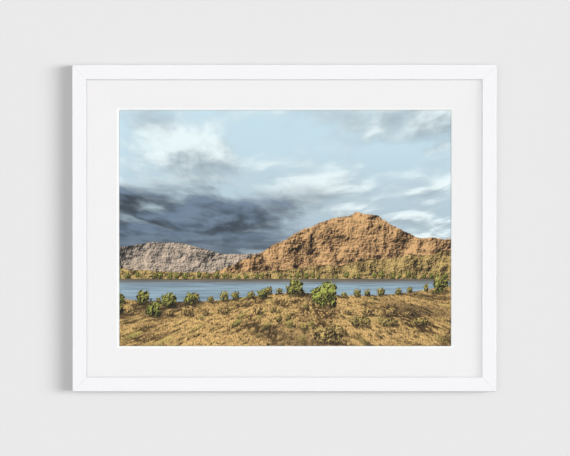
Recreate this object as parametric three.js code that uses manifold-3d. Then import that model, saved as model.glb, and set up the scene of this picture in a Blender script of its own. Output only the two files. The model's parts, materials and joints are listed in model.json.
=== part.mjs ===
// A framed print that hangs on a wall: a narrow mitred moulding, clear glazing, a window mat with a bevel-cut
// opening, the print, its mount board, and a back panel that turn buttons hold in the rebate.
// Millimetres, +Z up. The picture faces -Y, the wall is the plane y = 0, and the origin is the middle of the
// back of the sawtooth hanger, where a nail carries the frame.

import * as THREE from "three";
import { mergeVertices } from "three/addons/utils/BufferGeometryUtils.js";
import Module from "manifold-3d";

const wasm = await Module();
wasm.setup();

// Driving dimensions
const WINDOW_WIDTH = 418; // the mat's window shows an A3 picture, all but 2 mm of its width
const WINDOW_HEIGHT = 297;
const MAT_BORDER = 39; // from the window to the moulding
const MAT_BORDER_LEFT = 41; // the window is cut a little to the right of the middle
const RAIL_FACE = 18;
const RAIL_DEPTH = 20;
const LIP_WIDTH = 6; // how far the moulding covers the glazing
const LIP_DEPTH = 5; // from the front of the moulding back to its rebate
const EDGE_RADIUS = 1; // the outer front edge of the moulding
const INNER_RADIUS = 0.5; // its front edge beside the mat
const WALL_GAP = 3; // from the back of the moulding to the wall
const GAP = 0.3; // between pieces that bear on each other
const MITRE_GAP = 0.2;
const SHEET_CLEARANCE = 0.5; // round each sheet in the rebate

const GLAZING_THICKNESS = 2;
const MAT_THICKNESS = 3;
const PRINT_WIDTH = 483;
const PRINT_HEIGHT = 329;
const PRINT_THICKNESS = 0.4;
const PANEL_THICKNESS = 3;
const PANEL_CORNER = 2;

const BUTTON_THICKNESS = 1;
const BUTTON_REACH = 20; // from its screw to the middle of its tip
const BUTTON_HUB_RADIUS = 4.75;
const BUTTON_TIP_RADIUS = 3.5;
const BUTTON_EDGE = 0.15; // the rounding that stamping leaves
const BUTTONS_ALONG = 150; // each side of the middle of the long rails

const SCREW_RADIUS = 1.5;
const SCREW_LENGTH = 11;
const SCREW_POINT = 2.5;
const SCREW_HEAD_RADIUS = 3;
const SCREW_HEAD_HEIGHT = 1.2;
const RECESS_WIDTH = 0.7;
const RECESS_SPAN = 3;
const RECESS_DEPTH = 0.7;

const HANGER_LENGTH = 60;
const HANGER_WIDTH = 9;
const HANGER_THICKNESS = 0.8;
const HANGER_TAB = 10; // the flat at each end
const HANGER_RAMP = 3;
const TOOTH_PITCH = 3;
const TOOTH_DEPTH = 1.6;
const TEETH = 10;
const NAIL_RADIUS = 0.8;
const NAIL_LENGTH = 11;
const NAIL_POINT = 1.6;
const NAIL_HEAD_RADIUS = 2.2;
const NAIL_CROWN_RADIUS = 1.8; // the flat top of its head
const NAIL_HEAD_HEIGHT = 0.8;

const BUMPER_RADIUS = 4.5;
const BUMPER_FROM_CORNER = 24;
const STAPLE_WING = 6; // each arm of a corner staple
const STAPLE_THICKNESS = 0.5;
const STAPLE_DEPTH = 7;
const STAPLE_CLEARANCE = 0.15;

const ROUND_STEPS = 32; // sides of a turned piece
const ARC_STEPS = 8; // an arc in an outline gets twice as many spans
const EDGE_STEPS = 4;

// Worked out from them
const openingWidth = WINDOW_WIDTH + MAT_BORDER + MAT_BORDER_LEFT;
const openingHeight = WINDOW_HEIGHT + 2 * MAT_BORDER;
const windowMiddle = (MAT_BORDER_LEFT - MAT_BORDER) / 2;
const outerWidth = openingWidth + 2 * RAIL_FACE;
const outerHeight = openingHeight + 2 * RAIL_FACE;
const sheetWidth = openingWidth + 2 * (LIP_WIDTH - SHEET_CLEARANCE);
const sheetHeight = openingHeight + 2 * (LIP_WIDTH - SHEET_CLEARANCE);
const railBack = RAIL_FACE - LIP_WIDTH; // the moulding's width behind the rebate
const railMiddle = railBack / 2; // screws, nails and staples sit on this line
const frameMiddle = railMiddle - outerHeight / 2; // height of the frame's middle
const backY = -WALL_GAP;
const rebateY = backY - RAIL_DEPTH + LIP_DEPTH;

const glazingY = rebateY + GAP + GLAZING_THICKNESS / 2;
const matY = rebateY + 2 * GAP + GLAZING_THICKNESS + MAT_THICKNESS / 2;
const printY = matY + MAT_THICKNESS / 2 + GAP + PRINT_THICKNESS / 2;
const panelY = backY - PANEL_THICKNESS / 2;
const boardFrontY = printY + PRINT_THICKNESS / 2 + GAP;
const boardBackY = panelY - PANEL_THICKNESS / 2 - GAP;
const buttonY = backY + GAP; // the underside of the turn buttons
const screwSeatY = buttonY + BUTTON_THICKNESS + GAP;

function finish(color, roughness, metalness = 0) {
  return new THREE.MeshStandardMaterial({ color, roughness, metalness });
}

const lacquer = finish(0xf7f7f9, 0.4);
const clear = finish(0xf4fafa, 0.05);
clear.transparent = true;
clear.opacity = 0.1;
const matBoard = finish(0xf4f2f3, 0.9);
const printed = finish(0xa39f92, 0.8);
const foam = finish(0xf2f1ec, 0.9);
const fibreboard = finish(0x9a7350, 0.85);
const zinc = finish(0xb9bcc0, 0.35, 1);
const rubber = finish(0xd9d8d2, 0.7);

// A closed geometry as a solid that can be cut, and back.
function solidOf(geometry) {
  const bare = geometry.clone();
  bare.deleteAttribute("normal");
  bare.deleteAttribute("uv");
  const merged = mergeVertices(bare, 1e-4);
  return new wasm.Manifold(
    new wasm.Mesh({
      numProp: 3,
      vertProperties: new Float32Array(merged.attributes.position.array),
      triVerts: new Uint32Array(merged.index.array),
    }),
  );
}

function geometryOf(solid) {
  const mesh = solid.getMesh();
  const geometry = new THREE.BufferGeometry();
  geometry.setAttribute("position", new THREE.BufferAttribute(mesh.vertProperties, 3));
  geometry.setIndex(new THREE.BufferAttribute(mesh.triVerts, 1));
  const flat = geometry.toNonIndexed();
  flat.computeVertexNormals();
  return flat;
}

function cut(geometry, tools) {
  return geometryOf(tools.reduce((solid, tool) => solid.subtract(solidOf(tool)), solidOf(geometry)));
}

function boxAt(width, depth, height, x, y, z) {
  return new THREE.BoxGeometry(width, depth, height).translate(x, y, z);
}

// A round pin along Y whose back end is at y, from which it runs towards the front.
function pinAt(radius, length, x, y, z) {
  return new THREE.CylinderGeometry(radius, radius, length, ROUND_STEPS).translate(x, y - length / 2, z);
}

// A shape drawn in x and z, made thick along Y between two depths.
function plate(shape, frontY, thickness) {
  return new THREE.ExtrudeGeometry(shape, { depth: thickness, bevelEnabled: false, curveSegments: ARC_STEPS })
    .rotateX(Math.PI / 2)
    .translate(0, frontY + thickness, 0);
}

function named(name, geometry, material) {
  const mesh = new THREE.Mesh(geometry, material);
  mesh.name = name;
  return mesh;
}

// The moulding. A rail is drawn with its back on y = 0 and its outer edge on z = 0, then turned into place.

function railProfile() {
  const front = RAIL_DEPTH;
  const shelf = RAIL_DEPTH - LIP_DEPTH;
  const shape = new THREE.Shape();
  shape.moveTo(0, 0);
  shape.lineTo(railBack, 0);
  shape.lineTo(railBack, shelf);
  shape.lineTo(RAIL_FACE, shelf);
  shape.lineTo(RAIL_FACE, front - INNER_RADIUS);
  shape.absarc(RAIL_FACE - INNER_RADIUS, front - INNER_RADIUS, INNER_RADIUS, 0, Math.PI / 2);
  shape.lineTo(EDGE_RADIUS, front);
  shape.absarc(EDGE_RADIUS, front - EDGE_RADIUS, EDGE_RADIUS, Math.PI / 2, Math.PI);
  shape.lineTo(0, 0);
  return shape;
}

// Both ends are drawn in by each point's distance from the outer edge, as a mitre at 45 degrees does.
function mitredRail(length) {
  const geometry = new THREE.ExtrudeGeometry(railProfile(), {
    depth: length,
    bevelEnabled: false,
    curveSegments: EDGE_STEPS,
  });
  const points = geometry.attributes.position;
  const halfGap = MITRE_GAP / Math.SQRT2;
  for (let i = 0; i < points.count; i++) {
    const inwards = points.getX(i);
    const forwards = points.getY(i);
    const side = points.getZ(i) > length / 2 ? -1 : 1;
    points.setXYZ(i, side * (length / 2 - inwards - halfGap), -forwards, -inwards);
  }
  return geometry;
}

function staplePocket(x, length) {
  const wide = STAPLE_THICKNESS + 2 * STAPLE_CLEARANCE;
  const deep = STAPLE_DEPTH + STAPLE_CLEARANCE + GAP;
  const run = STAPLE_WING + railMiddle + STAPLE_CLEARANCE;
  const middle = length / 2 - railMiddle - STAPLE_WING - STAPLE_CLEARANCE + run / 2;
  return boxAt(run, 2 * deep, wide, x * middle, 0, -railMiddle);
}

function rail(name, length, screws, nails, angle, reach) {
  const holes = [
    ...[-1, 1].map((side) => staplePocket(side, length)),
    ...screws.map((x) => pinAt(SCREW_RADIUS + GAP, 2 * SCREW_LENGTH, x, SCREW_LENGTH, -railMiddle)),
    ...nails.map((x) => pinAt(NAIL_RADIUS + GAP, 2 * NAIL_LENGTH, x, NAIL_LENGTH, -railMiddle)),
  ];
  const mesh = named(name, cut(mitredRail(length), holes), lacquer);
  mesh.position.set(reach * Math.sin(angle), backY, frameMiddle + reach * Math.cos(angle));
  mesh.rotation.y = angle;
  return mesh;
}

function moulding() {
  const group = new THREE.Group();
  const nails = [-1, 1].map((side) => (side * (HANGER_LENGTH - HANGER_TAB)) / 2);
  const along = [-BUTTONS_ALONG, BUTTONS_ALONG];
  group.add(rail("rail_top", outerWidth, along, nails, 0, outerHeight / 2));
  group.add(rail("rail_right", outerHeight, [0], [], Math.PI / 2, outerWidth / 2));
  group.add(rail("rail_bottom", outerWidth, along, [], Math.PI, outerHeight / 2));
  group.add(rail("rail_left", outerHeight, [0], [], -Math.PI / 2, outerWidth / 2));
  return group;
}

// A bent strip across each mitre, driven in from the back so that it ends just under the surface.
function cornerStaple(name, across, up) {
  const half = STAPLE_THICKNESS / 2;
  const shape = new THREE.Shape();
  shape.moveTo(half, half);
  shape.lineTo(-STAPLE_WING, half);
  shape.lineTo(-STAPLE_WING, -half);
  shape.lineTo(-half, -half);
  shape.lineTo(-half, -STAPLE_WING);
  shape.lineTo(half, -STAPLE_WING);
  shape.lineTo(half, half);
  const mesh = named(name, plate(shape, -STAPLE_DEPTH, STAPLE_DEPTH), zinc);
  mesh.position.set(
    across * (outerWidth / 2 - railMiddle),
    backY - STAPLE_CLEARANCE,
    frameMiddle + up * (outerHeight / 2 - railMiddle),
  );
  mesh.rotation.y = Math.atan2(across, up) - Math.PI / 4;
  return mesh;
}

// The sheets in the rebate, from front to back.

function glazing() {
  const sheet = boxAt(sheetWidth, GLAZING_THICKNESS, sheetHeight, 0, glazingY, frameMiddle);
  return named("glazing", sheet, clear);
}

// A block that widens towards the front by its own depth all round, as a bevel cut at 45 degrees leaves it.
function bevelCutter(depth) {
  const over = GAP; // runs past both faces, so that the cut is clean
  const geometry = new THREE.BoxGeometry(1, 1, 1);
  const points = geometry.attributes.position;
  for (let i = 0; i < points.count; i++) {
    const front = points.getY(i) < 0;
    const spread = front ? depth + over : -over;
    points.setXYZ(
      i,
      windowMiddle + Math.sign(points.getX(i)) * (WINDOW_WIDTH / 2 + spread),
      Math.sign(points.getY(i)) * (depth / 2 + over),
      Math.sign(points.getZ(i)) * (WINDOW_HEIGHT / 2 + spread),
    );
  }
  return geometry;
}

function windowMat() {
  const sheet = new THREE.BoxGeometry(sheetWidth, MAT_THICKNESS, sheetHeight);
  const mesh = named("window_mat", cut(sheet, [bevelCutter(MAT_THICKNESS)]), matBoard);
  mesh.position.set(0, matY, frameMiddle);
  return mesh;
}

function print() {
  const sheet = boxAt(PRINT_WIDTH, PRINT_THICKNESS, PRINT_HEIGHT, 0, printY, frameMiddle);
  return named("print_sheet", sheet, printed);
}

function mountBoard() {
  const middle = (boardFrontY + boardBackY) / 2;
  const sheet = boxAt(sheetWidth, boardBackY - boardFrontY, sheetHeight, 0, middle, frameMiddle);
  return named("mount_board", sheet, foam);
}

function roundedRectangle(width, height, radius) {
  const x = width / 2 - radius;
  const z = height / 2 - radius;
  const shape = new THREE.Shape();
  shape.moveTo(x + radius, -z);
  shape.absarc(x, z, radius, 0, Math.PI / 2);
  shape.absarc(-x, z, radius, Math.PI / 2, Math.PI);
  shape.absarc(-x, -z, radius, Math.PI, 1.5 * Math.PI);
  shape.absarc(x, -z, radius, 1.5 * Math.PI, 2 * Math.PI);
  return shape;
}

function backPanel() {
  const outline = roundedRectangle(sheetWidth, sheetHeight, PANEL_CORNER);
  const mesh = named("back_panel", plate(outline, -PANEL_THICKNESS, PANEL_THICKNESS), fibreboard);
  mesh.position.set(0, backY, frameMiddle);
  return mesh;
}

// Turn buttons and their screws. A button is drawn at its screw, with its arm down.

function buttonGeometry() {
  const lean = Math.asin((BUTTON_HUB_RADIUS - BUTTON_TIP_RADIUS) / BUTTON_REACH);
  const shape = new THREE.Shape();
  shape.absarc(0, 0, BUTTON_HUB_RADIUS - BUTTON_EDGE, -lean, Math.PI + lean);
  shape.absarc(0, -BUTTON_REACH, BUTTON_TIP_RADIUS - BUTTON_EDGE, Math.PI + lean, 2 * Math.PI - lean);
  shape.closePath();
  const hole = new THREE.Path();
  hole.absarc(0, 0, SCREW_RADIUS + GAP + BUTTON_EDGE, 0, 2 * Math.PI, true);
  shape.holes.push(hole);
  return new THREE.ExtrudeGeometry(shape, {
    depth: BUTTON_THICKNESS - 2 * BUTTON_EDGE,
    bevelThickness: BUTTON_EDGE,
    bevelSize: BUTTON_EDGE,
    bevelSegments: 1,
    curveSegments: ARC_STEPS,
  })
    .rotateX(Math.PI / 2)
    .translate(0, BUTTON_THICKNESS - BUTTON_EDGE, 0);
}

function turnButton(name, x, z, angle) {
  const mesh = named(name, buttonGeometry(), zinc);
  mesh.position.set(x, buttonY, z);
  mesh.rotation.y = angle;
  return mesh;
}

// Seated at y = 0: the point runs forward and the low rounded head stands behind, with a cross recess.
function screwGeometry() {
  const dome = SCREW_HEAD_HEIGHT / 2;
  const profile = [
    new THREE.Vector2(0, -SCREW_LENGTH),
    new THREE.Vector2(SCREW_RADIUS, -SCREW_LENGTH + SCREW_POINT),
    new THREE.Vector2(SCREW_RADIUS, 0),
    new THREE.Vector2(SCREW_HEAD_RADIUS, 0),
    new THREE.Vector2(SCREW_HEAD_RADIUS, SCREW_HEAD_HEIGHT - dome),
  ];
  for (let step = 1; step <= EDGE_STEPS; step++) {
    const angle = (step / EDGE_STEPS) * (Math.PI / 2);
    const radius = step === EDGE_STEPS ? 0 : SCREW_HEAD_RADIUS * Math.cos(angle);
    profile.push(new THREE.Vector2(radius, SCREW_HEAD_HEIGHT - dome + dome * Math.sin(angle)));
  }
  const slots = [
    boxAt(RECESS_SPAN, 2 * RECESS_DEPTH, RECESS_WIDTH, 0, SCREW_HEAD_HEIGHT, 0),
    boxAt(RECESS_WIDTH, 2 * RECESS_DEPTH, RECESS_SPAN, 0, SCREW_HEAD_HEIGHT, 0),
  ];
  return cut(new THREE.LatheGeometry(profile, ROUND_STEPS), slots);
}

function fastening(name, x, z, angle) {
  const screw = named("screw_" + name, screwGeometry(), zinc);
  screw.position.set(x, screwSeatY, z);
  screw.rotation.y = Math.PI / 4;
  return [turnButton("turn_button_" + name, x, z, angle), screw];
}

function fastenings() {
  const top = frameMiddle + outerHeight / 2 - railMiddle;
  const bottom = frameMiddle - outerHeight / 2 + railMiddle;
  const side = outerWidth / 2 - railMiddle;
  return [
    ...fastening("top_left", -BUTTONS_ALONG, top, 0),
    ...fastening("top_right", BUTTONS_ALONG, top, 0),
    ...fastening("bottom_left", -BUTTONS_ALONG, bottom, Math.PI),
    ...fastening("bottom_right", BUTTONS_ALONG, bottom, Math.PI),
    ...fastening("left", -side, frameMiddle, -Math.PI / 2),
    ...fastening("right", side, frameMiddle, Math.PI / 2),
  ];
}

// The sawtooth hanger: a strip raised in the middle, so that a nail's head fits behind its toothed edge.

function hangerBend() {
  const end = HANGER_LENGTH / 2;
  const tab = end - HANGER_TAB;
  const bridge = tab - HANGER_RAMP;
  const low = -WALL_GAP + GAP;
  const high = -HANGER_THICKNESS;
  const shape = new THREE.Shape();
  shape.moveTo(-end, low);
  shape.lineTo(-tab, low);
  shape.lineTo(-bridge, high);
  shape.lineTo(bridge, high);
  shape.lineTo(tab, low);
  shape.lineTo(end, low);
  shape.lineTo(end, low + HANGER_THICKNESS);
  shape.lineTo(tab, low + HANGER_THICKNESS);
  shape.lineTo(bridge, high + HANGER_THICKNESS);
  shape.lineTo(-bridge, high + HANGER_THICKNESS);
  shape.lineTo(-tab, low + HANGER_THICKNESS);
  shape.lineTo(-end, low + HANGER_THICKNESS);
  shape.closePath();
  const depth = 2 * HANGER_WIDTH;
  return new THREE.ExtrudeGeometry(shape, { depth, bevelEnabled: false }).translate(0, 0, -depth / 2);
}

function hangerOutline() {
  const half = HANGER_WIDTH / 2;
  const straight = HANGER_LENGTH / 2 - half;
  const nailAt = (HANGER_LENGTH - HANGER_TAB) / 2;
  const shape = new THREE.Shape();
  shape.moveTo(-straight, -half);
  for (let tooth = 0; tooth < TEETH; tooth++) {
    const x = (tooth - TEETH / 2) * TOOTH_PITCH;
    shape.lineTo(x, -half);
    shape.lineTo(x + TOOTH_PITCH / 2, -half + TOOTH_DEPTH);
  }
  shape.lineTo((TEETH / 2) * TOOTH_PITCH, -half);
  shape.absarc(straight, 0, half, -Math.PI / 2, Math.PI / 2);
  shape.absarc(-straight, 0, half, Math.PI / 2, 1.5 * Math.PI);
  for (const side of [-1, 1]) {
    const hole = new THREE.Path();
    hole.absarc(side * nailAt, 0, NAIL_RADIUS + GAP, 0, 2 * Math.PI, true);
    shape.holes.push(hole);
  }
  const frontY = -2 * WALL_GAP; // the block holds the whole bend
  return plate(shape, frontY, 3 * WALL_GAP);
}

// The bend is drawn in x and y, the outline in x and z, and the strip is what both share.
function hanger() {
  const strip = solidOf(hangerBend()).intersect(solidOf(hangerOutline()));
  return named("sawtooth_hanger", geometryOf(strip), zinc);
}

function hangerNail(name, side) {
  const profile = [
    new THREE.Vector2(0, -NAIL_LENGTH),
    new THREE.Vector2(NAIL_RADIUS, -NAIL_LENGTH + NAIL_POINT),
    new THREE.Vector2(NAIL_RADIUS, 0),
    new THREE.Vector2(NAIL_HEAD_RADIUS, 0),
    new THREE.Vector2(NAIL_HEAD_RADIUS, NAIL_HEAD_HEIGHT / 2),
    new THREE.Vector2(NAIL_CROWN_RADIUS, NAIL_HEAD_HEIGHT),
    new THREE.Vector2(0, NAIL_HEAD_HEIGHT),
  ];
  const mesh = named(name, new THREE.LatheGeometry(profile, ROUND_STEPS), zinc);
  mesh.position.set((side * (HANGER_LENGTH - HANGER_TAB)) / 2, backY + 2 * GAP + HANGER_THICKNESS, 0);
  return mesh;
}

// Soft feet that keep the lower edge off the wall.
function bumper(name, side) {
  const height = WALL_GAP - GAP;
  const profile = [
    new THREE.Vector2(0, 0),
    new THREE.Vector2(BUMPER_RADIUS, 0),
    new THREE.Vector2(BUMPER_RADIUS, height / 2),
  ];
  for (let step = 1; step <= EDGE_STEPS; step++) {
    const angle = (step / EDGE_STEPS) * (Math.PI / 2);
    const inset = (height / 2) * (1 - Math.cos(angle));
    profile.push(new THREE.Vector2(BUMPER_RADIUS - inset, (height / 2) * (1 + Math.sin(angle))));
  }
  profile.push(new THREE.Vector2(0, height));
  const mesh = named(name, new THREE.LatheGeometry(profile, ROUND_STEPS), rubber);
  mesh.position.set(
    side * (outerWidth / 2 - BUMPER_FROM_CORNER),
    backY + GAP,
    frameMiddle - outerHeight / 2 + railMiddle,
  );
  return mesh;
}

const framedPrint = new THREE.Group();
framedPrint.add(moulding());
framedPrint.add(cornerStaple("staple_top_right", 1, 1), cornerStaple("staple_top_left", -1, 1));
framedPrint.add(cornerStaple("staple_bottom_right", 1, -1), cornerStaple("staple_bottom_left", -1, -1));
framedPrint.add(glazing(), windowMat(), print(), mountBoard(), backPanel());
framedPrint.add(...fastenings());
framedPrint.add(hanger(), hangerNail("hanger_nail_left", -1), hangerNail("hanger_nail_right", 1));
framedPrint.add(bumper("bumper_left", -1), bumper("bumper_right", 1));

export default framedPrint;
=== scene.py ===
"""Dresses a framed print that hangs on a wall.

It has a white moulding, glazing, a window mat, a picture, a back panel and hardware.
"""

import json
import math
from types import SimpleNamespace

import bmesh
import bpy
from mathutils import Matrix, Vector

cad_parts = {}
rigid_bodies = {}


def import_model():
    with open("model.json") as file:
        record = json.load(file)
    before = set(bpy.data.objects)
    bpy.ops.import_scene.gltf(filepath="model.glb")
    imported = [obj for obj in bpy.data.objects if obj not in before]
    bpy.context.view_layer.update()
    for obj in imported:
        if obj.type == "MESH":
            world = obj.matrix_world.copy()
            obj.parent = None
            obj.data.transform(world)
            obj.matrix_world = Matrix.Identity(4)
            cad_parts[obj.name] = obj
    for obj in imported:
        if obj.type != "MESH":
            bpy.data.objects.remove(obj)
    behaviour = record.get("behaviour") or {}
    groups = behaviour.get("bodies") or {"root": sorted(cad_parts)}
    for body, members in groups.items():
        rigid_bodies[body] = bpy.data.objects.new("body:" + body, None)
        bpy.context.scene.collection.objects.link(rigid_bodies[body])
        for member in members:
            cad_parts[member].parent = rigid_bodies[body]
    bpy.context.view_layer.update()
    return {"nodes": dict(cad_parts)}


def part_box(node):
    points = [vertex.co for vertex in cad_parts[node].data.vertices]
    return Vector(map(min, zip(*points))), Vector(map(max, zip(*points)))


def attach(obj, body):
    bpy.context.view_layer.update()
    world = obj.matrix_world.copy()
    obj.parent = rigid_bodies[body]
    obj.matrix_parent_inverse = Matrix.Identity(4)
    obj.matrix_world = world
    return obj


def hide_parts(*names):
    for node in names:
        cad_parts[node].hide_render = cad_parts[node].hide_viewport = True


bl_info = {
    "name": "Framed Print",
    "version": (1, 0, 0),
    "blender": (4, 5, 0),
    "location": "3D View > Sidebar > Framed Print",
    "description": "Builds the finished surfaces of a glazed, matted and framed print round its solid frame",
    "category": "Object",
}

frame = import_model()

MM = 0.001
BODY = "frame"  # the body that everything but the turn buttons rides on

# Places read from the solids
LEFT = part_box("rail_left")[0].x
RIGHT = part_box("rail_right")[1].x
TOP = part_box("rail_top")[1].z
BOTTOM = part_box("rail_bottom")[0].z
FRONT_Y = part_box("rail_top")[0].y
BACK_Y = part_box("rail_top")[1].y
RAIL_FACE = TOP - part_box("rail_top")[0].z
MIDDLE_X = (LEFT + RIGHT) / 2
MIDDLE_Z = (TOP + BOTTOM) / 2
WALL_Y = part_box("sawtooth_hanger")[1].y


def centre_of(node):
    """The middle of a node's box."""
    low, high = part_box(node)
    return (low + high) / 2


def size_of(node):
    """The size of a node's box along X, Y and Z."""
    low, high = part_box(node)
    return high - low


# Properties that a user would change


def a_number(name, description, default, **more):
    return bpy.props.FloatProperty(name=name, description=description, default=default, **more)


def a_length(name, description, default):
    return a_number(name, description, default, unit="LENGTH")


def an_angle(name, description, degrees):
    return a_number(name, description, math.radians(degrees), subtype="ANGLE")


def a_triple(name, description, *default, subtype="NONE"):
    return bpy.props.FloatVectorProperty(
        name=name, description=description, default=default, size=3, subtype=subtype
    )


def a_colour(name, description, *default):
    return a_triple(name, description, *default, subtype="COLOR")


def a_screen_colour(name, description, *default):
    return a_triple(name, description, *default, subtype="COLOR_GAMMA")


class FramedPrintMoulding(bpy.types.PropertyGroup):
    """The white moulding."""

    lip_width: a_length("Lip width", "How far the moulding covers the glazing", 6 * MM)
    lip_depth: a_length("Lip depth", "From the front of the moulding back to its rebate", 5 * MM)
    front_radius: a_length("Front radius", "Rounding of the outer front edge", 1 * MM)
    inner_radius: a_length("Inner radius", "Rounding of the front edge beside the mat", 0.5 * MM)
    back_radius: a_length("Back radius", "Rounding of the edges at the back", 0.4 * MM)
    mitre_gap: a_length("Mitre gap", "Width of the joint line between two rails", 0.06 * MM)
    mitre_radius: a_length(
        "Mitre radius", "Rounding of the edges along each mitre, which shows as a hairline", 0.15 * MM
    )
    lacquer: a_colour("Lacquer", "Colour of the sprayed lacquer", 0.825, 0.825, 0.842)
    fibreboard: a_colour("Fibreboard", "Colour of the bare back of the moulding", 0.52, 0.39, 0.25)


class FramedPrintSheets(bpy.types.PropertyGroup):
    """The sheets in the rebate."""

    window_width: a_length("Window width", "Width of the picture that the mat's window shows", 418 * MM)
    window_shift: a_length(
        "Window shift", "How far to the right of the frame's middle the window is cut", 1 * MM
    )
    window_height: a_length("Window height", "Height of the picture that the mat's window shows", 297 * MM)
    cut_radius: a_length("Cut radius", "Rounding of the knife-cut edge of the mat", 0.15 * MM)
    facing: a_colour("Facing", "Colour of the mat's facing paper", 0.858, 0.838, 0.848)
    core: a_colour("Core", "Colour of the board that shows at the bevel", 0.95, 0.95, 0.945)
    hardboard: a_colour("Hardboard", "Colour of the back panel", 0.22, 0.115, 0.055)


class FramedPrintHardware(bpy.types.PropertyGroup):
    """The zinc-plated hardware and the bumpers."""

    hub_radius: a_length("Hub radius", "Radius of a turn button round its screw", 4.75 * MM)
    tip_radius: a_length("Tip radius", "Radius of a turn button at its tip", 3.5 * MM)
    reach: a_length("Reach", "From a turn button's screw to the middle of its tip", 20 * MM)
    hole_radius: a_length(
        "Hole radius", "Radius of the hole that a turn button's screw goes through", 1.8 * MM
    )
    stamped_radius: a_length(
        "Stamped radius", "Rounding that stamping leaves on the edges of the steel", 0.15 * MM
    )
    head_radius: a_length("Head radius", "Radius of a screw's head", 3 * MM)
    shank_radius: a_length("Shank radius", "Radius of a screw's shank", 1.5 * MM)
    recess_span: a_length("Recess span", "Length of the cross recess in a screw's head", 3.2 * MM)
    recess_width: a_length("Recess width", "Width of each slot of the cross recess", 0.75 * MM)
    recess_depth: a_length("Recess depth", "Depth of the cross recess", 0.8 * MM)
    staple_wing: a_length("Staple wing", "Length of each arm of a corner staple", 6 * MM)
    staple_thickness: a_length("Staple thickness", "Thickness of a corner staple", 0.5 * MM)
    zinc: a_colour(
        "Zinc", "Colour of the plating on the turn buttons, the screws and the hanger", 0.66, 0.68, 0.71
    )


class FramedPrintPicture(bpy.types.PropertyGroup):
    """The colours of the picture."""

    sky_high: a_screen_colour("High sky", "Sky between the clouds at the top", 0.78, 0.862, 0.9)
    sky_low: a_screen_colour("Low sky", "Sky above the hills", 0.7, 0.76, 0.8)
    cloud: a_screen_colour("Cloud", "Lit cloud", 0.9, 0.94, 0.95)
    storm: a_screen_colour("Storm", "Heavy cloud low in the sky", 0.37, 0.43, 0.5)
    hill_light: a_screen_colour("Lit hill", "Hillside in the sun", 0.78, 0.64, 0.47)
    hill_shade: a_screen_colour("Shaded hill", "Hillside in the shade", 0.36, 0.28, 0.22)
    water: a_screen_colour("Water", "Lake under the open sky", 0.62, 0.7, 0.75)
    grass_light: a_screen_colour("Lit grass", "Dry grass in the sun", 0.83, 0.7, 0.48)
    grass_dark: a_screen_colour("Shaded grass", "Dry grass and soil in the shade", 0.42, 0.33, 0.22)
    leaf_light: a_screen_colour("Lit leaf", "Bushes in the sun", 0.62, 0.68, 0.32)
    leaf_dark: a_screen_colour("Shaded leaf", "Bushes in the shade", 0.22, 0.22, 0.13)


class FramedPrintStage(bpy.types.PropertyGroup):
    """The wall, floor, light and camera."""

    wall: a_colour("Wall", "Colour of the wall", 0.785, 0.785, 0.785)
    ambient: a_number("Ambient", "Light from all round in front of the wall", 0.2)
    behind: a_number("Behind", "Light from all round behind the wall", 0.4)
    on_wall: a_triple(
        "On the wall",
        "Light on the backdrop from the window, from a soft box in front, and from a shadowless fill",
        0.47,
        0.175,
        0.205,
    )
    on_print: a_triple(
        "On the print",
        "Light on the framed print from the window, the soft box and the fill",
        0.17,
        0.4,
        0.38,
    )
    key_azimuths: a_triple(
        "Key azimuths",
        "Angles of the three panes of the window light from straight ahead, to the right",
        *(math.radians(pane) for pane in (33, 44, 55)),
        subtype="EULER",
    )
    key_elevation: an_angle("Key elevation", "Angle of the window light above the horizon", 3)
    key_spread: an_angle("Key spread", "Angular size of each pane, which softens its shadows", 20)
    distance: a_length("Distance", "From the camera to the front of the moulding", 6.0)
    view_width: a_length("View width", "Width of the view at the front of the moulding", 717.2 * MM)
    aim_across: a_length(
        "Aim across", "How far to the right of the frame's middle the camera looks", 0.8 * MM
    )
    aim_up: a_length("Aim up", "How far above the frame's middle the camera looks", 0.5 * MM)
    at_back: a_number(
        "At the back", "Share of light on the back, which the front and the wall don't get", 0.75, min=0.0
    )
    pitch: an_angle("Pitch", "How far the camera looks down", 1.33)


GROUPS = {
    "framed_print_moulding": FramedPrintMoulding,
    "framed_print_sheets": FramedPrintSheets,
    "framed_print_hardware": FramedPrintHardware,
    "framed_print_picture": FramedPrintPicture,
    "framed_print_stage": FramedPrintStage,
}


# Colours


def from_screen(colour):
    """A colour as it looks on the screen, in the linear values that a shader takes."""
    return [c / 12.92 if c <= 0.04045 else ((c + 0.055) / 1.055) ** 2.4 for c in colour]


def shade(colour, factor):
    """A colour made darker or lighter."""
    return [min(c * factor, 1.0) for c in colour]


def blend(first, second, share):
    """A colour between two others."""
    return [a * (1 - share) + b * share for a, b in zip(first, second)]


# Nodes


def math_node(operation, flipped=False):
    """A method that makes the math node for a wire and another value."""

    def work_out(wire, *other):
        values = (*other, wire) if flipped else (wire, *other)
        return wire.tree.add("Math", *values, operation=operation)["Value"]

    return work_out


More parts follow.
